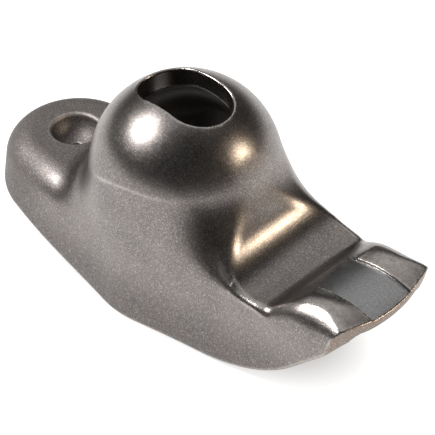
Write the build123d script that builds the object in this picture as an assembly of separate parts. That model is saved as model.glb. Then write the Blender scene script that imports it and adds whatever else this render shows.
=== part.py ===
"""Stud-mounted rocker arm drawn from one steel sheet, lying dome up and open side down.

Millimetres. The origin is the centre of the ball seat, +X points to the valve tip,
+Z points up through the dome.
"""

import os

import numpy as np
from build123d import *

# Sheet, coined thinner towards the valve tip
sheet_thickness = 3.0
tip_thickness = 2.3
smallest_inside_radius = 1.8

# Dome, whose inside is the ball seat, and the floors that it flares out onto
dome_radius = 15.0
pushrod_floor_z = -6.4
pushrod_flare_radius = 6.6
hip_floor_z = -4.5
hip_flare_radius = 13.0
floor_change_from_x = -14.0
floor_change_to_x = 3.0

# Stud slot through the dome, long way along the arm
slot_length = 15.8
slot_width = 10.3

# Pushrod end
cup_x = -25.5
pushrod_end_radius = 10.8
cup_radius = 4.0
cup_depth = 3.7
cup_rim_radius = 0.5
cup_rim_run_out = 75.0
oil_hole_diameter = 1.6

# Side walls, which lean out a little towards the open side
wall_lean = 2.0
pushrod_end_lean = 8.0
wall_lean_starts_z = -5.0
hip_taper = 0.2
valve_half_width = 12.6
valve_taper = 0.045
taper_blend = 1.6

# Throat across the arm between the dome and the valve pad
throat_x = 24.0
throat_z = -6.0
throat_radius = 8.2
throat_bow = 0.004
throat_dish = 0.005
throat_blend = 1.2
crease_blend = 1.0

# Valve pad, coined between two guide rails
pad_crown_x = 36.0
pad_crown_z = -2.4
pad_crown_radius = 16.0
pad_half_width = 4.2
pad_sink = 0.5
pad_run_in = 0.2
pad_overrun = 4.0
pad_back_x = 26.5
pad_coin_starts_x = 28.0
pad_coined_x = 32.0
rail_crest_x = 35.0
rail_height = 0.75
rail_fall = 0.7
rail_inner_ease = 1.0
rail_inner_ramp = 2.6
rail_top_slope = 0.34
rail_top_crown = 0.045
rail_top_lift = 3.0
rail_top_blend = 0.6

# Valve tip, rounded in plan and leaning back under the pad
tip_x = 41.4
tip_plan_radius = 27.0
tip_lean = 12.0

# Outside shoulder radii, from the pushrod end to the tip
shoulder_pushrod = 4.1
shoulder_dome = 5.0
shoulder_throat = 2.0
shoulder_rail = 5.0
shoulder_tip = 2.0
shoulder_shrinks_x = 12.0
tangency_blend = 1.0

# Open rim, seen from the side
rim_z = -20.5
rim_knee_x = -3.0
rim_knee_radius = 14.0
rim_pushrod_slope = 9.2
rim_sweep_x = 14.6
rim_sweep_radius = 25.0
rim_sweep_angle = 45.5
rim_rise_length = 9.4
rim_turn_radius = 3.0
rim_turn_angle = 40.0

# Upright sections through which the drawn faces pass, taken well past the trimmed edges
trim_reach = 1.5 * tip_x
base_z = rim_z - 2.0 * sheet_thickness
inner_base_z = base_z - sheet_thickness
crown_hole = 0.2 * slot_width
inner_crown_hole = 0.1 * slot_width
ray_origin_z = 3.0 * rim_z
run_out_x = tip_x + 2.0 * sheet_thickness
run_out_radius = 2.0 * pad_half_width
stations = 69
profile_points = 60
halvings = 50
slope_step = 0.02


def ramp(start, end, value):
    """Smooth rise from 0 to 1 between start and end."""
    share = np.clip((value - start) / (end - start), 0.0, 1.0)
    return share * share * (3.0 - 2.0 * share)


def soft_min(first, second, blend):
    """The lower of two heights, with the corner between them rounded."""
    share = np.clip(0.5 + 0.5 * (second - first) / blend, 0.0, 1.0)
    return second + (first - second) * share - blend * share * (1.0 - share)


def soft_max(first, second, blend):
    """The higher of two heights, with the corner between them rounded."""
    return -soft_min(-first, -second, blend)


def rounded_corner(first, second, radius):
    """Distance to a solid bounded by two faces whose common edge has a radius."""
    inside = np.minimum(-radius, np.maximum(first, second))
    return inside + np.hypot(np.maximum(radius + first, 0.0), np.maximum(radius + second, 0.0))


def half_width(x):
    """Half width of the valve side of the arm, seen from above."""
    hip = dome_radius * np.sqrt(1.0 + hip_taper**2) - hip_taper * x
    arm = valve_half_width - valve_taper * x
    return soft_max(hip, arm, taper_blend)


def outline_distance(x, y):
    """Distance outside the outline of the arm, seen from above."""
    across = np.abs(y)
    lean = (dome_radius - pushrod_end_radius) / cup_x
    slant = np.sqrt(1.0 - lean * lean)
    along = -lean * across + slant * (x - cup_x)
    tangent = slant * across + lean * (x - cup_x) - pushrod_end_radius
    end = np.hypot(x - cup_x, across) - pushrod_end_radius
    dome = np.hypot(x, across) - dome_radius
    pushrod_side = np.where(along < 0.0, end, np.where(along > -slant * cup_x, dome, tangent))
    slope = (half_width(x + slope_step) - half_width(x - slope_step)) / (2.0 * slope_step)
    wall = (across - half_width(x)) / np.sqrt(1.0 + slope * slope)
    wall = rounded_corner(wall, x - run_out_x, run_out_radius)
    valve_side = np.where(x < hip_taper * across, dome, wall)
    return np.where(x > 0.0, valve_side, pushrod_side)


def pad_height(x):
    """Height of the crowned valve pad."""
    run = np.maximum(pad_crown_radius**2 - (x - pad_crown_x) ** 2, 0.0)
    return pad_crown_z - pad_crown_radius + np.sqrt(run)


def ridge_height(x, y):
    """Height of the pad and its two guide rails before the pad is coined."""
    along_rail = ramp(pad_back_x, rail_crest_x, x) - rail_fall * ramp(rail_crest_x, tip_x, x)
    across_rail = ramp(pad_half_width - rail_inner_ease, pad_half_width + rail_inner_ramp, np.abs(y))
    sink = (pad_sink + pad_run_in) * ramp(pad_back_x, pad_coined_x, x) - pad_run_in
    return pad_height(x) + sink + rail_height * along_rail * across_rail


def above_dome(x, y, z):
    """Distance above the dome and the floors round it, and the sideways part of the way out."""
    share = ramp(floor_change_from_x, floor_change_to_x, x)
    floor = pushrod_floor_z + (hip_floor_z - pushrod_floor_z) * share
    flare = pushrod_flare_radius + (hip_flare_radius - pushrod_flare_radius) * share
    flare_z = floor + flare
    flare_reach = np.sqrt((dome_radius + flare) ** 2 - flare_z**2)
    reach = np.hypot(x, y)
    from_ball = np.maximum(np.hypot(reach, z), slope_step)
    from_flare = np.maximum(np.hypot(reach - flare_reach, z - flare_z), slope_step)
    on_dome = z * flare_reach > reach * flare_z
    on_flare = reach < flare_reach
    distance = np.where(on_dome, from_ball - dome_radius, np.where(on_flare, flare - from_flare, z - floor))
    flare_sideways = np.where(on_flare, (flare_reach - reach) / from_flare, 0.0)
    return distance, np.where(on_dome, reach / from_ball, flare_sideways)


def above_arm(x, y, z):
    """Distance above the throat, pad and rails, and the forward part of the way out."""
    forward = x - throat_bow * y * y
    floor = throat_z + throat_dish * y * y
    bend_z = floor + throat_radius
    turn = np.arctan2(bend_z, throat_x)
    lever = np.minimum((dome_radius + throat_radius) / np.hypot(throat_x, bend_z), 1.0)
    turn = turn + np.arccos(lever)
    flank = forward * np.cos(turn) + z * np.sin(turn) - dome_radius
    down = (forward - throat_x) * np.sin(turn) - (z - bend_z) * np.cos(turn)
    from_bend = np.maximum(np.hypot(forward - throat_x, z - bend_z), slope_step)
    bend = np.where(forward < throat_x, throat_radius - from_bend, z - floor)
    bend_forward = np.where(forward < throat_x, (throat_x - forward) / from_bend, 0.0)
    throat = np.where(down < 0.0, flank, bend)
    step = slope_step
    slope_x = (ridge_height(x + step, y) - ridge_height(x - step, y)) / (2.0 * step)
    slope_y = (ridge_height(x, y + step) - ridge_height(x, y - step)) / (2.0 * step)
    ridge = (z - ridge_height(x, y)) / np.sqrt(1.0 + slope_x**2 + slope_y**2)
    ridge = np.where(x < throat_x, throat + crease_blend, ridge)
    forward_part = np.where(down < 0.0, np.cos(turn), bend_forward)
    return soft_min(throat, ridge, crease_blend), np.where(throat <= ridge, forward_part, 0.0)


def shoulder_radius(x):
    """Outside radius between the top of the arm and its wall."""
    radius = shoulder_dome + (shoulder_pushrod - shoulder_dome) * ramp(floor_change_from_x, cup_x, x)
    radius = radius + (shoulder_throat - shoulder_dome) * ramp(shoulder_shrinks_x, throat_x, x)
    radius = radius + (shoulder_rail - shoulder_throat) * ramp(throat_x, rail_crest_x, x)
    return radius + (shoulder_tip - shoulder_rail) * ramp(rail_crest_x, tip_x, x)


def rail_top(x, y):
    """Height of the low crowns coined on the guide rails, clear of the arm behind the pad."""
    across = np.maximum(np.abs(y) - pad_half_width, 0.0)
    fall = 1.0 - rail_fall * ramp(rail_crest_x, tip_x, x)
    crowned = across * (rail_top_slope - rail_top_crown * across) * fall
    lift = rail_top_lift * (1.0 - ramp(pad_back_x, pad_coined_x, x))
    return pad_height(x) + pad_sink + lift + crowned


def skin(x, y, z, depth):
    """Distance outside the drawn shape, at a depth below its outer face."""
    step = slope_step
    wall_x = (outline_distance(x + step, y) - outline_distance(x - step, y)) / (2.0 * step)
    wall_y = (outline_distance(x, y + step) - outline_distance(x, y - step)) / (2.0 * step)
    lean = wall_lean + (pushrod_end_lean - wall_lean) * ramp(0.0, cup_x, x)
    wall = outline_distance(x, y) - np.tan(np.radians(lean)) * np.maximum(wall_lean_starts_z - z, 0.0)
    dome, dome_sideways = above_dome(x, y, z)
    arm, arm_forward = above_arm(x, y, z)
    dome = dome - dome_radius * ramp(throat_x - throat_radius / 2.0, throat_x, x)
    top = np.where(x > 0.0, soft_max(dome, arm, throat_blend), dome)
    reach = np.maximum(np.hypot(x, y), step)
    dome_alike = (x * wall_x + y * wall_y) / reach * dome_sideways
    on_arm = np.where(x > 0.0, ramp(-tangency_blend, tangency_blend, arm - dome), 0.0)
    alike = dome_alike + (wall_x * arm_forward - dome_alike) * on_arm
    tangent = np.sqrt(np.clip(1.0 - alike * alike, step**2, 1.0))
    radius = shoulder_radius(x)
    if depth:
        under = depth + (tip_thickness - sheet_thickness) * ramp(pad_back_x, tip_x, x)
        inside_radius = np.maximum(radius - depth, smallest_inside_radius)
        return rounded_corner(wall + depth, top + under, inside_radius * tangent)
    drawn = rounded_corner(wall, top, radius * tangent)
    return np.where(x > throat_x, soft_max(drawn, z - rail_top(x, y), rail_top_blend), drawn)


def drawn_half(depth, base_z, crown_hole):
    """Half of the solid under the outer face (depth 0) or inner face, on the +Y side.

    Upright sections fan round the dome's axis from the tip to the pushrod end.
    """
    turns = np.linspace(0.0, np.pi, stations)
    headings = np.arctan2(dome_radius * np.sin(turns), tip_x * np.cos(turns))
    east = np.cos(headings)[:, None]
    north = np.sin(headings)[:, None]
    near = np.full((stations, 1), crown_hole)
    far = np.full((stations, 1), 2.0 * tip_x)
    for _ in range(halvings):
        middle = (near + far) / 2.0
        inside = skin(middle * east, middle * north, base_z, depth) < 0.0
        near = np.where(inside, middle, near)
        far = np.where(inside, far, middle)
    crown_z = np.sqrt((dome_radius - depth) ** 2 - crown_hole**2)
    lowest = np.arctan2(base_z - ray_origin_z, near)
    highest = np.arctan2(crown_z - ray_origin_z, crown_hole)
    rise = lowest + (highest - lowest) * np.linspace(0.0, 1.0, profile_points)
    near = np.full(rise.shape, crown_hole)
    far = np.full(rise.shape, 3.0 * tip_x)
    for _ in range(halvings):
        middle = (near + far) / 2.0
        reach = middle * np.cos(rise)
        inside = skin(reach * east, reach * north, ray_origin_z + middle * np.sin(rise), depth) < 0.0
        near = np.where(inside, middle, near)
        far = np.where(inside, far, middle)
    reach = near * np.cos(rise)
    height = ray_origin_z + near * np.sin(rise)
    knots = list(np.linspace(0.0, 1.0, profile_points))
    sections = []
    for heading, reaches, heights in zip(headings, reach, height):
        row = [(r * np.cos(heading), r * np.sin(heading), h) for r, h in zip(reaches, heights)]
        profile = Edge.make_spline(row, parameters=knots)
        foot = (row[-1][0], row[-1][1], base_z)
        sections.append(Wire([profile, Edge.make_line(row[-1], foot), Edge.make_line(foot, row[0])]))
    return Solid.make_loft(sections)


# Cup for the pushrod ball, which stands out as a bump on the inside
ball_radius = (cup_radius**2 + cup_depth**2) / (2.0 * cup_depth)
ball_z = pushrod_floor_z - cup_depth + ball_radius
bump = Pos(cup_x, 0.0, ball_z) * Sphere(ball_radius + sheet_thickness)

# Drawn sheet
outer = drawn_half(0.0, base_z, crown_hole)
inner = drawn_half(sheet_thickness, inner_base_z, inner_crown_hole)
half = outer - (inner - bump)

# Open rim trimmed to its side profile
knee_length = rim_knee_radius * np.tan(np.radians(rim_pushrod_slope / 2.0))
flat = Line((rim_sweep_x, rim_z), (rim_knee_x + knee_length, rim_z))
knee = JernArc(flat @ 1, flat % 1, rim_knee_radius, -rim_pushrod_slope)
pushrod_line = Line(knee @ 1, knee @ 1 + (knee % 1) * trim_reach)
sweep = JernArc((rim_sweep_x, rim_z), (1.0, 0.0), rim_sweep_radius, rim_sweep_angle)
rise = Line(sweep @ 1, sweep @ 1 + (sweep % 1) * rim_rise_length)
turn = JernArc(rise @ 1, rise % 1, rim_turn_radius, -rim_turn_angle)
tip_line = Line(turn @ 1, turn @ 1 + (turn % 1) * trim_reach)
tip_corner = ((tip_line @ 1).X, trim_reach)
pushrod_corner = ((pushrod_line @ 1).X, trim_reach)
above = Polyline(tip_line @ 1, tip_corner, pushrod_corner, pushrod_line @ 1)
kept_side = make_face(Curve() + [pushrod_line, knee, flat, sweep, rise, turn, tip_line, above])
half = half & extrude(Plane.XZ * kept_side, trim_reach, both=True)

# Valve tip sheared round in plan
tip_spread = np.tan(np.radians(tip_lean)) * trim_reach
tip_cone = Cone(tip_plan_radius - tip_spread, tip_plan_radius + tip_spread, 2.0 * trim_reach)
tip_centre = Pos(tip_x - tip_plan_radius, 0.0, pad_height(tip_x))
end_block = Pos(trim_reach / 2.0, 0.0, 0.0) * Box(trim_reach, 2.0 * trim_reach, 2.0 * trim_reach)
half = half - tip_centre * (end_block - tip_cone)

# Stud slot
half = half - extrude(SlotOverall(slot_length, slot_width), trim_reach)

# Cup with its rolled rim, and the oil hole through its bottom
rim_centre_z = pushrod_floor_z - cup_rim_radius
rim_centre_r = np.sqrt((ball_radius + cup_rim_radius) ** 2 - (ball_z - rim_centre_z) ** 2)
rim_foot = np.degrees(np.arctan2(ball_z - rim_centre_z, -rim_centre_r))
rim_turn = 180.0 - cup_rim_run_out - rim_foot
bowl = CenterArc((0.0, ball_z), ball_radius, -90.0, rim_foot - 90.0)
bowl_rim = CenterArc((rim_centre_r, rim_centre_z), cup_rim_radius, rim_foot, rim_turn)
run_out = bowl_rim @ 1 + (bowl_rim % 1) * cup_rim_radius
mouth = Polyline(bowl_rim @ 1, run_out, (0.0, run_out.Y), bowl @ 0)
cup_profile = make_face(Curve() + [bowl, bowl_rim, mouth])
half = half - Pos(cup_x, 0.0, 0.0) * revolve(Plane.XZ * cup_profile, Axis.Z)
oil_hole = Cylinder(oil_hole_diameter / 2.0, 4.0 * sheet_thickness)
half = half - Pos(cup_x, 0.0, pushrod_floor_z - cup_depth) * oil_hole

# Valve pad coined to its crown between the guide rails
pad_centre_z = pad_crown_z - pad_crown_radius
crown = Rot(90.0, 0.0, 0.0) * Cylinder(pad_crown_radius, 2.0 * pad_half_width)
coin_length = tip_x + pad_overrun - pad_coin_starts_x
coin = Box(coin_length, 2.0 * pad_half_width, pad_crown_radius)
coin = Pos(pad_coin_starts_x + coin_length / 2.0, 0.0, pad_crown_z) * coin
half = half - (coin - Pos(pad_crown_x, 0.0, pad_centre_z) * crown)

# Both halves as one stamping
rocker_arm = half + mirror(half, about=Plane.XZ)

os.makedirs("parts", exist_ok=True)
export_step(rocker_arm, "parts/rocker_arm.step")
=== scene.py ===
import bpy
import numpy as np
from mathutils import Matrix, Vector


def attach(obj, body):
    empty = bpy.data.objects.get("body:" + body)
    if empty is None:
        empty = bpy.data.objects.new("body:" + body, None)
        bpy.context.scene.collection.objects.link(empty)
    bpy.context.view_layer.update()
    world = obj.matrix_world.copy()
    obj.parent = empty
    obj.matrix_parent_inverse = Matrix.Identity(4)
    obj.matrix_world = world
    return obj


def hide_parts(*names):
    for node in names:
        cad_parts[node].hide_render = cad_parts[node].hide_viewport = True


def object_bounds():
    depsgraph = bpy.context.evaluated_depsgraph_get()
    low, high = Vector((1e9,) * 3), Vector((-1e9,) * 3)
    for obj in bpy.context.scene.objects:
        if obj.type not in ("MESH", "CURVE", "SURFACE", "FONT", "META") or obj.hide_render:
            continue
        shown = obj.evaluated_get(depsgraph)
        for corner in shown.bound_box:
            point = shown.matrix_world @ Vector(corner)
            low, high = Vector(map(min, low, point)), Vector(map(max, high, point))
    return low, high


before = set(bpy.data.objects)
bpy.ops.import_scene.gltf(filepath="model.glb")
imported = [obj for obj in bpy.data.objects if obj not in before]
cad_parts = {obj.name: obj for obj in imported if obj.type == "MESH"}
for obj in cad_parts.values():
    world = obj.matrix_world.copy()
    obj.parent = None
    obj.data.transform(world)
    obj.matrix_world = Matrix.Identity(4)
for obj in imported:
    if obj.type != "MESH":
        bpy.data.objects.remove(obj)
cad_low, cad_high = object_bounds()

# The rocker arm: one piece of steel sheet, drawn in a press into a domed trough, then pierced,
# coined at the valve pad, trimmed along its open rim and tumbled until its edges are soft.
# Its faces follow the press tools, worked out in millimetres from the centre of the ball seat.

SHEET = 3.0
TIP_SHEET = 2.3
INSIDE_RADIUS = 1.8
DOME_RADIUS = 15.0
PUSHROD_FLOOR_Z = -6.4
PUSHROD_FLARE = 6.6
HIP_FLOOR_Z = -4.5
HIP_FLARE = 13.0
FLOOR_CHANGE_X = (-14.0, 3.0)
SLOT_LENGTH = 15.8
SLOT_WIDTH = 10.3
SLOT_EDGE = 0.4
CUP_X = -25.5
CUP_RADIUS = 4.0
CUP_DEPTH = 3.7
CUP_BALL = (CUP_RADIUS**2 + CUP_DEPTH**2) / (2.0 * CUP_DEPTH)
CUP_BALL_Z = PUSHROD_FLOOR_Z - CUP_DEPTH + CUP_BALL
CUP_EDGE = 0.5
OIL_HOLE = 1.6
OIL_HOLE_EDGE = 0.15
PUSHROD_END_RADIUS = 10.8
WALL_LEAN = 2.0
PUSHROD_END_LEAN = 8.0
WALL_LEAN_Z = -5.0
HIP_TAPER = 0.2
VALVE_HALF_WIDTH = 12.6
VALVE_TAPER = 0.045
TAPER_BLEND = 1.6
THROAT_X = 24.0
THROAT_Z = -6.0
THROAT_RADIUS = 8.2
THROAT_BOW = 0.004
THROAT_DISH = 0.005
THROAT_BLEND = 0.6
CREASE_BLEND = 0.5
HIP_BLEND = 1.2
TANGENCY_BLEND = 1.0
PAD_X = 36.0
PAD_Z = -2.4
PAD_CROWN = 16.0
PAD_HALF_WIDTH = 4.2
PAD_SINK = 0.5
PAD_RUN_IN = 0.2
PAD_BACK_X = 26.5
PAD_COIN_STARTS_X = 28.0
PAD_COINED_X = 32.0
COIN_EDGE = 0.12
RAIL_CREST_X = 35.0
RAIL_HEIGHT = 0.75
RAIL_FALL = 0.7
RAIL_EASE = 1.0
RAIL_RAMP = 2.6
RAIL_SLOPE = 0.34
RAIL_CROWN = 0.045
RAIL_LIFT = 3.0
RAIL_TOP_EDGE = 0.4
TIP_X = 41.4
TIP_PLAN_RADIUS = 27.0
TIP_LEAN = 12.0
TIP_EDGE = 0.25
TIP_CORNER_X = TIP_X + 2.0 * SHEET
TIP_CORNER_RADIUS = 2.0 * PAD_HALF_WIDTH
SHOULDER_PUSHROD = 4.1
SHOULDER_DOME = 5.0
SHOULDER_THROAT = 1.2
SHOULDER_RAIL = 5.0
SHOULDER_TIP = 2.0
SHOULDER_SHRINKS_X = 12.0
RIM_Z = -20.5
RIM_KNEE_X = -3.0
RIM_KNEE_RADIUS = 14.0
RIM_PUSHROD_SLOPE = 9.2
RIM_SWEEP_X = 14.6
RIM_SWEEP_RADIUS = 25.0
RIM_SWEEP_ANGLE = 45.5
RIM_RISE = 9.4
RIM_TURN_RADIUS = 3.0
RIM_TURN_ANGLE = 40.0
RIM_EDGE = 0.45
STEP = 0.02
SHORTEST = 1e-6
SURFACE_STEPS = 3
LONGEST_MOVE = 0.2
LEAST_STEEPNESS = 0.2
MESH_SPACING = 0.26
SLABS = 40
UNEVENNESS = 0.008
TRIANGLES = 190000.0
TOWARD_CENTRE = 0.3
NORMAL_REACH = 0.05
SAME_FACE = 0.92
BURNISH_REACH = 0.35
BURNISH_BEND = (0.1, 1.1)
SHEAR_REACH = (0.04, 0.3)
COIN_REACH = (0.05, 0.15)
COIN_MARGIN = 0.1
PAINTED_SHADE_REACH = (0.1, 0.5)
MILLIMETRES_PER_METRE = 1000.0
DULL_BELOW_Z = (-18.0, -8.0)
STEEL_DARK = (0.185, 0.17, 0.163)
STEEL_WARM = (0.24, 0.214, 0.2)
STEEL_DULL = (0.195, 0.174, 0.167)
STEEL_COINED = (0.3, 0.3, 0.302)
STEEL_BRIGHT = (0.42, 0.385, 0.36)
STEEL_SHEARED = (0.24, 0.185, 0.15)
STEEL_GLINT = (0.48, 0.45, 0.43)
STEEL_PIT = (0.08, 0.073, 0.07)
# Painted shade for the hollow inside the arm, past the cup.
STEEL_PAINTED_SHADE = (0.14, 0.127, 0.12)


def ramp(start, end, value):
    share = np.clip((value - start) / (end - start), 0.0, 1.0)
    return share * share * (3.0 - 2.0 * share)


def lower_of(first, second, blend):
    share = np.clip(0.5 + 0.5 * (second - first) / blend, 0.0, 1.0)
    return second + (first - second) * share - blend * share * (1.0 - share)


def higher_of(first, second, blend):
    return -lower_of(-first, -second, blend)


def with_soft_edge(first, second, radius):
    """Distance to what lies inside both faces, their common edge worn to a radius."""
    inside = np.minimum(-radius, np.maximum(first, second))
    return inside + np.hypot(np.maximum(radius + first, 0.0), np.maximum(radius + second, 0.0))


def arm_half_width(x):
    hip = DOME_RADIUS * np.sqrt(1.0 + HIP_TAPER**2) - HIP_TAPER * x
    return higher_of(hip, VALVE_HALF_WIDTH - VALVE_TAPER * x, TAPER_BLEND)


def outside_outline(x, y):
    """Distance outside the arm's outline, seen from above."""
    across = np.abs(y)
    lean = (DOME_RADIUS - PUSHROD_END_RADIUS) / CUP_X
    slant = np.sqrt(1.0 - lean * lean)
    along = -lean * across + slant * (x - CUP_X)
    side = slant * across + lean * (x - CUP_X) - PUSHROD_END_RADIUS
    end = np.hypot(x - CUP_X, across) - PUSHROD_END_RADIUS
    dome = np.hypot(x, across) - DOME_RADIUS
    pushrod_side = np.where(along < 0.0, end, np.where(along > -slant * CUP_X, dome, side))
    slope = (arm_half_width(x + STEP) - arm_half_width(x - STEP)) / (2.0 * STEP)
    wall = (across - arm_half_width(x)) / np.sqrt(1.0 + slope * slope)
    wall = with_soft_edge(wall, x - TIP_CORNER_X, TIP_CORNER_RADIUS)
    valve_side = np.where(x < HIP_TAPER * across, dome, wall)
    return np.where(x > 0.0, valve_side, pushrod_side)


def pad_height(x):
    return PAD_Z - PAD_CROWN + np.sqrt(np.maximum(PAD_CROWN**2 - (x - PAD_X) ** 2, 0.0))


def ridge_height(x, y):
    """Height of the pad and its two guide rails before they are coined."""
    along = ramp(PAD_BACK_X, RAIL_CREST_X, x) - RAIL_FALL * ramp(RAIL_CREST_X, TIP_X, x)
    across = ramp(PAD_HALF_WIDTH - RAIL_EASE, PAD_HALF_WIDTH + RAIL_RAMP, np.abs(y))
    sink = (PAD_SINK + PAD_RUN_IN) * ramp(PAD_BACK_X, PAD_COINED_X, x) - PAD_RUN_IN
    return pad_height(x) + sink + RAIL_HEIGHT * along * across


def above_dome(x, y, z):
    """Distance above the dome and the floors round it, and the sideways part of the way out."""
    share = ramp(*FLOOR_CHANGE_X, x)
    floor = PUSHROD_FLOOR_Z + (HIP_FLOOR_Z - PUSHROD_FLOOR_Z) * share
    flare = PUSHROD_FLARE + (HIP_FLARE - PUSHROD_FLARE) * share
    flare_z = floor + flare
    flare_reach = np.sqrt((DOME_RADIUS + flare) ** 2 - flare_z**2)
    reach = np.hypot(x, y)
    from_ball = np.maximum(np.hypot(reach, z), STEP)
    from_flare = np.maximum(np.hypot(reach - flare_reach, z - flare_z), STEP)
    on_dome = z * flare_reach > reach * flare_z
    on_flare = reach < flare_reach
    distance = np.where(on_dome, from_ball - DOME_RADIUS, np.where(on_flare, flare - from_flare, z - floor))
    flare_sideways = np.where(on_flare, (flare_reach - reach) / from_flare, 0.0)
    return distance, np.where(on_dome, reach / from_ball, flare_sideways)


def above_arm(x, y, z):
    """Distance above the throat, pad and rails, and the forward part of the way out."""
    forward = x - THROAT_BOW * y * y
    floor = THROAT_Z + THROAT_DISH * y * y
    bend_z = floor + THROAT_RADIUS
    turn = np.arctan2(bend_z, THROAT_X)
    turn = turn + np.arccos(np.minimum((DOME_RADIUS + THROAT_RADIUS) / np.hypot(THROAT_X, bend_z), 1.0))
    flank = forward * np.cos(turn) + z * np.sin(turn) - DOME_RADIUS
    down = (forward - THROAT_X) * np.sin(turn) - (z - bend_z) * np.cos(turn)
    from_bend = np.maximum(np.hypot(forward - THROAT_X, z - bend_z), STEP)
    bend = np.where(forward < THROAT_X, THROAT_RADIUS - from_bend, z - floor)
    bend_forward = np.where(forward < THROAT_X, (THROAT_X - forward) / from_bend, 0.0)
    throat = np.where(down < 0.0, flank, bend)
    slope_x = (ridge_height(x + STEP, y) - ridge_height(x - STEP, y)) / (2.0 * STEP)
    slope_y = (ridge_height(x, y + STEP) - ridge_height(x, y - STEP)) / (2.0 * STEP)
    ridge = (z - ridge_height(x, y)) / np.sqrt(1.0 + slope_x**2 + slope_y**2)
    ridge = np.where(x < THROAT_X, throat + CREASE_BLEND, ridge)
    forward_part = np.where(down < 0.0, np.cos(turn), bend_forward)
    return lower_of(throat, ridge, CREASE_BLEND), np.where(throat <= ridge, forward_part, 0.0)


def rail_top(x, y):
    """Height of the low crowns coined on the guide rails, clear of the arm behind the pad."""
    across = np.maximum(np.abs(y) - PAD_HALF_WIDTH, 0.0)
    crowned = across * (RAIL_SLOPE - RAIL_CROWN * across) * (1.0 - RAIL_FALL * ramp(RAIL_CREST_X, TIP_X, x))
    lift = RAIL_LIFT * (1.0 - ramp(PAD_BACK_X, PAD_COINED_X, x))
    return pad_height(x) + PAD_SINK + lift + crowned


def shoulder_radius(x):
    """Radius between the top of the arm and its wall."""
    radius = SHOULDER_DOME + (SHOULDER_PUSHROD - SHOULDER_DOME) * ramp(FLOOR_CHANGE_X[0], CUP_X, x)
    radius = radius + (SHOULDER_THROAT - SHOULDER_DOME) * ramp(SHOULDER_SHRINKS_X, THROAT_X, x)
    radius = radius + (SHOULDER_RAIL - SHOULDER_THROAT) * ramp(THROAT_X, RAIL_CREST_X, x)
    return radius + (SHOULDER_TIP - SHOULDER_RAIL) * ramp(RAIL_CREST_X, TIP_X, x)


def outside_sheet(x, y, z):
    """Distance outside the drawn shape, and outside the hollow under it."""
    wall_x = (outside_outline(x + STEP, y) - outside_outline(x - STEP, y)) / (2.0 * STEP)
    wall_y = (outside_outline(x, y + STEP) - outside_outline(x, y - STEP)) / (2.0 * STEP)
    lean = WALL_LEAN + (PUSHROD_END_LEAN - WALL_LEAN) * ramp(0.0, CUP_X, x)
    wall = outside_outline(x, y) - np.tan(np.radians(lean)) * np.maximum(WALL_LEAN_Z - z, 0.0)
    dome, dome_sideways = above_dome(x, y, z)
    arm, arm_forward = above_arm(x, y, z)
    dome = dome - DOME_RADIUS * ramp(THROAT_X - THROAT_RADIUS / 2.0, THROAT_X, x)
    top = np.where(x > 0.0, higher_of(dome, arm, THROAT_BLEND), dome)
    dome_alike = (x * wall_x + y * wall_y) / np.maximum(np.hypot(x, y), STEP) * dome_sideways
    on_arm = np.where(x > 0.0, ramp(-TANGENCY_BLEND, TANGENCY_BLEND, arm - dome), 0.0)
    alike = dome_alike + (wall_x * arm_forward - dome_alike) * on_arm
    tangent = np.sqrt(np.clip(1.0 - alike * alike, STEP**2, 1.0))
    radius = shoulder_radius(x)
    drawn = np.maximum(with_soft_edge(wall, top, radius * tangent), higher_of(wall, top, HIP_BLEND))
    drawn = np.where(x > THROAT_X, with_soft_edge(drawn, z - rail_top(x, y), RAIL_TOP_EDGE), drawn)
    under = SHEET + (TIP_SHEET - SHEET) * ramp(PAD_BACK_X, TIP_X, x)
    inside_radius = np.maximum(radius - SHEET, INSIDE_RADIUS) * tangent
    return drawn, with_soft_edge(wall + SHEET, top + under, inside_radius)


def rim_height(x):
    """Height of the trimmed rim along the arm."""
    slope = np.radians(RIM_PUSHROD_SLOPE)
    knee = RIM_KNEE_RADIUS * np.tan(slope / 2.0)
    knee_end = RIM_KNEE_X + knee
    knee_start = RIM_KNEE_X - knee * np.cos(slope)
    rise = np.radians(RIM_SWEEP_ANGLE)
    sweep_x = RIM_SWEEP_X + RIM_SWEEP_RADIUS * np.sin(rise)
    sweep_z = RIM_Z + RIM_SWEEP_RADIUS * (1.0 - np.cos(rise))
    rise_x = sweep_x + RIM_RISE * np.cos(rise)
    rise_z = sweep_z + RIM_RISE * np.sin(rise)
    turn_x = rise_x + RIM_TURN_RADIUS * np.sin(rise)
    turn_z = rise_z - RIM_TURN_RADIUS * np.cos(rise)
    end = np.radians(RIM_SWEEP_ANGLE - RIM_TURN_ANGLE)
    end_x = turn_x - RIM_TURN_RADIUS * np.sin(end)
    end_z = turn_z + RIM_TURN_RADIUS * np.cos(end)
    knee_z = RIM_Z + RIM_KNEE_RADIUS - np.sqrt(np.maximum(RIM_KNEE_RADIUS**2 - (x - knee_end) ** 2, 0.0))
    swept = RIM_SWEEP_RADIUS - np.sqrt(np.maximum(RIM_SWEEP_RADIUS**2 - (x - RIM_SWEEP_X) ** 2, 0.0))
    turned = turn_z + np.sqrt(np.maximum(RIM_TURN_RADIUS**2 - (x - turn_x) ** 2, 0.0))
    height = np.full(np.shape(x), RIM_Z)
    height = np.where(x < knee_end, knee_z, height)
    height = np.where(x < knee_start, RIM_Z + np.tan(slope) * (RIM_KNEE_X - x), height)
    height = np.where(x > RIM_SWEEP_X, RIM_Z + swept, height)
    height = np.where(x > sweep_x, sweep_z + np.tan(rise) * (x - sweep_x), height)
    height = np.where(x > rise_x, turned, height)
    return np.where(x > end_x, end_z + np.tan(end) * (x - end_x), height)


def below_rim(x, z):
    slope = (rim_height(x + STEP) - rim_height(x - STEP)) / (2.0 * STEP)
    return (rim_height(x) - z) / np.sqrt(1.0 + slope * slope)


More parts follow.
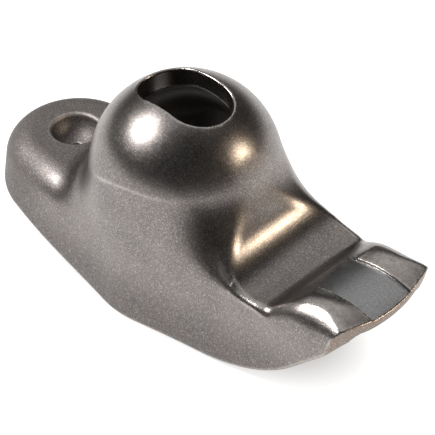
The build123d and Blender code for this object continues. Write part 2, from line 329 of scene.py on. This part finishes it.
def past_tip(x, y, z):
    reach = np.hypot(np.maximum(x - TIP_X + TIP_PLAN_RADIUS, 0.0), y) - TIP_PLAN_RADIUS
    lean = np.radians(TIP_LEAN)
    return reach * np.cos(lean) - (z - pad_height(TIP_X)) * np.sin(lean)


def inside_slot(x, y):
    straight = (SLOT_LENGTH - SLOT_WIDTH) / 2.0
    return np.hypot(np.maximum(np.abs(x) - straight, 0.0), y) - SLOT_WIDTH / 2.0


def inside_coin(x, y, z):
    crown = PAD_CROWN - np.hypot(x - PAD_X, z - PAD_Z + PAD_CROWN)
    return np.maximum(np.maximum(np.abs(y) - PAD_HALF_WIDTH, crown), PAD_COIN_STARTS_X - x)


def outside_arm(x, y, z):
    """Distance outside the finished rocker arm, its edges rounded as worn."""
    drawn, hollow = outside_sheet(x, y, z)
    ball = np.sqrt((x - CUP_X) ** 2 + y * y + (z - CUP_BALL_Z) ** 2)
    solid = np.maximum(drawn, -np.maximum(hollow, CUP_BALL + SHEET - ball))
    solid = with_soft_edge(solid, CUP_BALL - ball, CUP_EDGE)
    solid = with_soft_edge(solid, OIL_HOLE / 2.0 - np.hypot(x - CUP_X, y), OIL_HOLE_EDGE)
    solid = with_soft_edge(solid, -inside_slot(x, y), SLOT_EDGE)
    solid = with_soft_edge(solid, -inside_coin(x, y, z), COIN_EDGE)
    solid = with_soft_edge(solid, past_tip(x, y, z), TIP_EDGE)
    return with_soft_edge(solid, below_rim(x, z), RIM_EDGE)


def slopes(points, reach):
    """Direction of steepest way out of the arm at each point."""
    slope = np.empty_like(points)
    for axis in range(3):
        offset = np.zeros(3)
        offset[axis] = reach
        ahead = outside_arm(*(points + offset).T)
        behind = outside_arm(*(points - offset).T)
        slope[:, axis] = (ahead - behind) / (2.0 * reach)
    return slope


def onto_surface(points):
    """The points moved in a few short steps onto the faces of the arm."""
    for _ in range(SURFACE_STEPS):
        slope = slopes(points, STEP)
        steep = np.maximum((slope * slope).sum(axis=1), LEAST_STEEPNESS)
        away = np.clip(outside_arm(*points.T), -LONGEST_MOVE, LONGEST_MOVE)
        points = points - (away / steep)[:, None] * slope
    return points


# The faces are found on an even grid of points, then thinned where the arm is flat.
low = np.array(cad_low) * MILLIMETRES_PER_METRE - 2.0 * MESH_SPACING
high = np.array(cad_high) * MILLIMETRES_PER_METRE + 2.0 * MESH_SPACING
counts = np.ceil((high - low) / MESH_SPACING).astype(int) + 1
lines = [low[axis] + MESH_SPACING * np.arange(counts[axis]) for axis in range(3)]
field = np.empty(counts, dtype=np.float32)
for slab in np.array_split(np.arange(counts[0]), SLABS):
    field[slab] = outside_arm(lines[0][slab][:, None, None], lines[1][None, :, None], lines[2][None, None, :])
cells = counts - 1
cell_total = int(np.prod(cells))
corner_sum = np.zeros((3, cell_total))
corner_count = np.zeros(cell_total)
quads = []
# Each grid line that crosses a face of the arm gets a four-sided facet round the crossing.
for axis in range(3):
    first = np.take(field, np.arange(counts[axis] - 1), axis=axis)
    second = np.take(field, np.arange(1, counts[axis]), axis=axis)
    crossing = np.nonzero((first < 0.0) != (second < 0.0))
    leaving = first[crossing] < 0.0
    place = np.array(crossing, dtype=float)
    place[axis] += first[crossing] / (first[crossing] - second[crossing])
    side, other = (axis + 1) % 3, (axis + 2) % 3
    ring = []
    for back_side, back_other in ((0, 0), (1, 0), (1, 1), (0, 1)):
        cell = [np.array(part) for part in crossing]
        cell[side] -= back_side
        cell[other] -= back_other
        number = np.ravel_multi_index(cell, cells)
        ring.append(number)
        corner_count += np.bincount(number, minlength=cell_total)
        for part in range(3):
            corner_sum[part] += np.bincount(number, weights=place[part], minlength=cell_total)
    ring = np.array(ring).T
    quads.append(np.where(leaving[:, None], ring, ring[:, ::-1]))
used = np.flatnonzero(corner_count)
points = low + MESH_SPACING * (corner_sum[:, used] / corner_count[used]).T
numbers = np.full(cell_total, -1)
numbers[used] = np.arange(len(used))
quads = numbers[np.concatenate(quads)]
points = onto_surface(points)
# A hair of unevenness keeps the thinning from leaving long slivers; it is taken out again afterwards.
points += UNEVENNESS * np.random.default_rng(1).standard_normal(points.shape)


def plain_mesh(name, points, faces):
    mesh = bpy.data.meshes.new(name)
    mesh.vertices.add(len(points))
    mesh.vertices.foreach_set("co", (points / MILLIMETRES_PER_METRE).ravel())
    mesh.loops.add(faces.size)
    mesh.loops.foreach_set("vertex_index", faces.ravel())
    mesh.polygons.add(len(faces))
    mesh.polygons.foreach_set("loop_start", np.arange(0, faces.size, faces.shape[1]))
    mesh.update(calc_edges=True)
    mesh.validate()
    return mesh


rough_arm = bpy.data.objects.new("rough_arm", plain_mesh("rough_arm", points, quads))
bpy.context.scene.collection.objects.link(rough_arm)
thinning = rough_arm.modifiers.new("thinning", "DECIMATE")
thinning.ratio = min(1.0, TRIANGLES / (2.0 * len(quads)))
thinning.use_collapse_triangulate = True
thinned_arm = rough_arm.evaluated_get(bpy.context.evaluated_depsgraph_get())
arm_mesh = bpy.data.meshes.new_from_object(thinned_arm)
bpy.data.objects.remove(rough_arm)
points = np.empty(len(arm_mesh.vertices) * 3)
arm_mesh.vertices.foreach_get("co", points)
points = onto_surface(points.reshape(-1, 3) * MILLIMETRES_PER_METRE)
arm_mesh.vertices.foreach_set("co", (points / MILLIMETRES_PER_METRE).ravel())


def unit(directions):
    return directions / np.maximum(np.linalg.norm(directions, axis=1, keepdims=True), SHORTEST)


# Each face's corners are felt a little way inside the face, so that a sharp step shades as two faces.
face_corners = np.empty(len(arm_mesh.loops), dtype=np.int32)
arm_mesh.loops.foreach_get("vertex_index", face_corners)
centres = np.repeat(points[face_corners].reshape(-1, 3, 3).mean(axis=1), 3, axis=0)
spots = (1.0 - TOWARD_CENTRE) * points[face_corners] + TOWARD_CENTRE * centres
edge_normals = unit(slopes(points, NORMAL_REACH))[face_corners]
face_normals = unit(slopes(spots, NORMAL_REACH))
past_edge = (edge_normals * face_normals).sum(axis=1) < SAME_FACE
arm_mesh.name = "stamped_rocker_arm"
arm_mesh.shade_smooth()
arm_mesh.normals_split_custom_set(np.where(past_edge[:, None], face_normals, edge_normals))
arm_mesh.update()
rocker_arm = bpy.data.objects.new("stamped_rocker_arm", arm_mesh)
bpy.context.scene.collection.objects.link(rocker_arm)

# What each spot of the steel has been through: burnished on its proud edges, sheared at the tip and rim,
# pressed smooth at the pad, left dull on the walls and the pushrod end; and painted shade in the hollow
# inside.
spot_x, spot_y, spot_z = spots.T
# How sharply the steel bends: six spots round about, set against the spot itself.
bend = -6.0 * outside_arm(*spots.T)
for axis in range(3):
    for shift in (-BURNISH_REACH, BURNISH_REACH):
        beside = spots.copy()
        beside[:, axis] += shift
        bend += outside_arm(*beside.T)
bend /= BURNISH_REACH**2
at_tip = 1.0 - ramp(*SHEAR_REACH, np.abs(past_tip(*spots.T)))
at_rim = 1.0 - ramp(*SHEAR_REACH, np.abs(below_rim(spot_x, spot_z)))
on_coin = np.hypot(spot_x - PAD_X, spot_z - PAD_Z + PAD_CROWN) - PAD_CROWN
between_rails = np.abs(spot_y) < PAD_HALF_WIDTH - COIN_MARGIN
on_pad = np.where(between_rails, 1.0 - ramp(*COIN_REACH, np.abs(on_coin)), 0.0)
low_down = 1.0 - ramp(*DULL_BELOW_Z, spot_z)
at_pushrod = 1.0 - ramp(CUP_X, -DOME_RADIUS, spot_x)
past_cup = ramp(CUP_X + 2.0 * CUP_RADIUS, -DOME_RADIUS, spot_x)
# Painted shade: the hollow faces past the cup are marked here to be darkened.
painted_shade_on_hollow = 1.0 - ramp(*PAINTED_SHADE_REACH, np.abs(outside_sheet(*spots.T)[1]))
histories = {
    "burnished": ramp(*BURNISH_BEND, bend),
    "sheared": np.maximum(at_tip, at_rim),
    "coined": on_pad * ramp(PAD_COIN_STARTS_X, PAD_COINED_X, spot_x),
    "dull": np.maximum(low_down, at_pushrod),
    "inside": past_cup * painted_shade_on_hollow,
}
for name, amount in histories.items():
    layer = arm_mesh.attributes.new(name, "FLOAT", "CORNER")
    layer.data.foreach_set("value", amount.astype(np.float32))

steel = bpy.data.materials.new("stamped_steel")
steel.use_nodes = True
nodes = steel.node_tree.nodes
links = steel.node_tree.links
shader = nodes["Principled BSDF"]
shader.inputs["Metallic"].default_value = 1.0
steel_place = nodes.new("ShaderNodeTexCoord").outputs["Object"]


def grain(grains_per_metre, detail):
    noise = nodes.new("ShaderNodeTexNoise")
    noise.inputs["Scale"].default_value = grains_per_metre
    noise.inputs["Detail"].default_value = detail
    links.new(steel_place, noise.inputs["Vector"])
    return noise.outputs["Fac"]


def history(name):
    layer = nodes.new("ShaderNodeAttribute")
    layer.attribute_name = name
    return layer.outputs["Fac"]


def spread(value, start, end, low, high):
    """The value between start and end, spread from low to high."""
    stretch = nodes.new("ShaderNodeMapRange")
    for socket, number in zip(("From Min", "From Max", "To Min", "To Max"), (start, end, low, high)):
        stretch.inputs[socket].default_value = number
    links.new(value, stretch.inputs["Value"])
    return stretch.outputs["Result"]


def together(how, first, second):
    """Two amounts added or multiplied."""
    sum_node = nodes.new("ShaderNodeMath")
    sum_node.operation = how
    links.new(first, sum_node.inputs[0])
    links.new(second, sum_node.inputs[1])
    return sum_node.outputs["Value"]


def tinted(share, first, second, how="MIX"):
    """One colour laid over another by a share; a colour is three numbers or the end of another node."""
    blend = nodes.new("ShaderNodeMix")
    blend.data_type = "RGBA"
    blend.blend_type = how
    links.new(share, blend.inputs["Factor"])
    # Inputs 6 and 7 and output 2 of this node are its colours.
    for socket, colour in ((blend.inputs[6], first), (blend.inputs[7], second)):
        if isinstance(colour, tuple):
            socket.default_value = (*colour, 1.0)
        else:
            links.new(colour, socket)
    return blend.outputs[2]


fine_grain = grain(grains_per_metre=4500.0, detail=2.0)
coarse_grain = grain(grains_per_metre=1500.0, detail=3.0)
patches = grain(grains_per_metre=160.0, detail=4.0)
burnished = together("MULTIPLY", history("burnished"), spread(coarse_grain, 0.3, 0.6, 0.45, 1.0))
dull = history("dull")
sheared = history("sheared")
coined = history("coined")
inside = history("inside")

# Mottled steel comes first, each history over it, then fine glints and pits, and the painted shade in the
# hollow inside last.
colour = tinted(spread(patches, 0.35, 0.65, 0.0, 1.0), STEEL_DARK, STEEL_WARM)
colour = tinted(together("MULTIPLY", dull, spread(patches, 0.3, 0.7, 0.5, 1.0)), colour, STEEL_DULL)
colour = tinted(coined, colour, STEEL_COINED)
colour = tinted(burnished, colour, STEEL_BRIGHT)
colour = tinted(sheared, colour, STEEL_SHEARED)
colour = tinted(spread(fine_grain, 0.5, 0.75, 0.0, 0.8), colour, STEEL_GLINT)
colour = tinted(spread(fine_grain, 0.5, 0.25, 0.0, 0.3), colour, STEEL_PIT)
# Painted shade darkens the hollow inside the arm.
colour = tinted(inside, colour, STEEL_PAINTED_SHADE)
links.new(colour, shader.inputs["Base Color"])

# Dull and sheared steel scatters more light, burnished steel less.
roughness = spread(coarse_grain, 0.3, 0.7, 0.28, 0.33)
roughness = together("ADD", roughness, spread(dull, 0.0, 1.0, 0.0, 0.32))
roughness = together("ADD", roughness, spread(sheared, 0.0, 1.0, 0.0, 0.1))
roughness = together("ADD", roughness, spread(burnished, 0.0, 1.0, 0.0, -0.06))
links.new(roughness, shader.inputs["Roughness"])

# Tumbling leaves a fine, shallow grain.
tumbled = nodes.new("ShaderNodeBump")
tumbled.inputs["Strength"].default_value = 0.5
tumbled.inputs["Distance"].default_value = 0.00004
links.new(fine_grain, tumbled.inputs["Height"])
links.new(tumbled.outputs["Normal"], shader.inputs["Normal"])

arm_mesh.materials.clear()
arm_mesh.materials.append(steel)
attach(rocker_arm, "root")
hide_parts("rocker_arm")

# The floor: a wide sheet of white paper lying on a light table, so that it glows.
# The glow fades out in an ellipse under the arm, so that the inside of the arm stays dark.
paper_reach = 3.0
paper_gap = 0.00005
paper_z = cad_low.z - paper_gap
paper_mesh = bpy.data.meshes.new("white_paper")
paper_sides = ((-1.0, -1.0), (1.0, -1.0), (1.0, 1.0), (-1.0, 1.0))
paper_corners = [(paper_reach * x, paper_reach * y, paper_z) for x, y in paper_sides]
paper_mesh.from_pydata(paper_corners, [], [(0, 1, 2, 3)])
paper = bpy.data.objects.new("white_paper", paper_mesh)
bpy.context.scene.collection.objects.link(paper)
white = bpy.data.materials.new("white_paper")
white.use_nodes = True
paper_shader = white.node_tree.nodes["Principled BSDF"]
paper_shader.inputs["Base Color"].default_value = (0.35, 0.35, 0.35, 1.0)
paper_shader.inputs["Roughness"].default_value = 0.9
paper_shader.inputs["Emission Color"].default_value = (1.0, 1.0, 1.0, 1.0)
paper_place = white.node_tree.nodes.new("ShaderNodeTexCoord")
under_arm = white.node_tree.nodes.new("ShaderNodeMapping")
under_arm.inputs["Scale"].default_value = (28.0, 60.0, 1.0)
shade = white.node_tree.nodes.new("ShaderNodeTexGradient")
shade.gradient_type = "SPHERICAL"
glow = white.node_tree.nodes.new("ShaderNodeMapRange")
glow.inputs["From Max"].default_value = 0.45
glow.inputs["To Min"].default_value = 0.95
glow.inputs["To Max"].default_value = 0.0
white.node_tree.links.new(paper_place.outputs["Object"], under_arm.inputs["Vector"])
white.node_tree.links.new(under_arm.outputs["Vector"], shade.inputs["Vector"])
white.node_tree.links.new(shade.outputs["Fac"], glow.inputs["Value"])
white.node_tree.links.new(glow.outputs["Result"], paper_shader.inputs["Emission Strength"])
paper_mesh.materials.append(white)

# The camera stands above the valve tip's near side, as the photograph was taken.
# It looks a little past the ball seat, so that the whole arm lies in the picture.
azimuth = np.radians(44.0)
elevation = np.radians(40.2)
camera_distance = 0.27
aim_right = 0.00478
aim_down = 0.00802
right = Vector((np.cos(azimuth), np.sin(azimuth), 0.0))
back = Vector((np.sin(azimuth) * np.cos(elevation), -np.cos(azimuth) * np.cos(elevation), np.sin(elevation)))
up = back.cross(right)
camera = bpy.data.objects.new("camera", bpy.data.cameras.new("camera"))
camera.data.sensor_width = 36.0
camera.data.lens = 145.9
camera.data.clip_start = 0.01
camera.data.clip_end = 20.0
camera.location = aim_right * right - aim_down * up + camera_distance * back
camera.rotation_euler = Matrix((right, up, back)).transposed().to_euler()
bpy.context.scene.collection.objects.link(camera)
bpy.context.scene.camera = camera


# Soft studio light: a white box up on the left, a small warm one low on the right
# and a wide one overhead, in a room that gives back only a little light.
def softbox(name, direction, distance, width, height, power, colour):
    lamp = bpy.data.lights.new(name, "AREA")
    lamp.shape = "RECTANGLE"
    lamp.size = width
    lamp.size_y = height
    lamp.energy = power
    lamp.color = colour
    lamp_object = bpy.data.objects.new(name, lamp)
    toward = Vector(direction).normalized()
    lamp_object.location = toward * distance
    lamp_object.rotation_euler = toward.to_track_quat("Z", "Y").to_euler()
    bpy.context.scene.collection.objects.link(lamp_object)


white_way = -0.69 * right + 0.58 * up + 0.43 * back
warm_way = 0.92 * right + 0.18 * up + 0.35 * back
sky_way = (-0.35, 0.36, 1.0)
softbox("white_box", white_way, distance=0.6, width=0.19, height=0.19, power=3.2, colour=(1.0, 1.0, 1.0))
softbox("warm_box", warm_way, distance=0.6, width=0.08, height=0.08, power=1.1, colour=(1.0, 0.84, 0.64))
softbox("sky_box", sky_way, distance=1.2, width=1.5, height=1.5, power=5.0, colour=(1.0, 1.0, 1.0))
world = bpy.data.worlds.new("studio")
world.use_nodes = True
world.node_tree.nodes["Background"].inputs["Color"].default_value = (0.8, 0.8, 0.8, 1.0)
world.node_tree.nodes["Background"].inputs["Strength"].default_value = 0.06
bpy.context.scene.world = world
bpy.context.scene.view_settings.view_transform = "Standard"
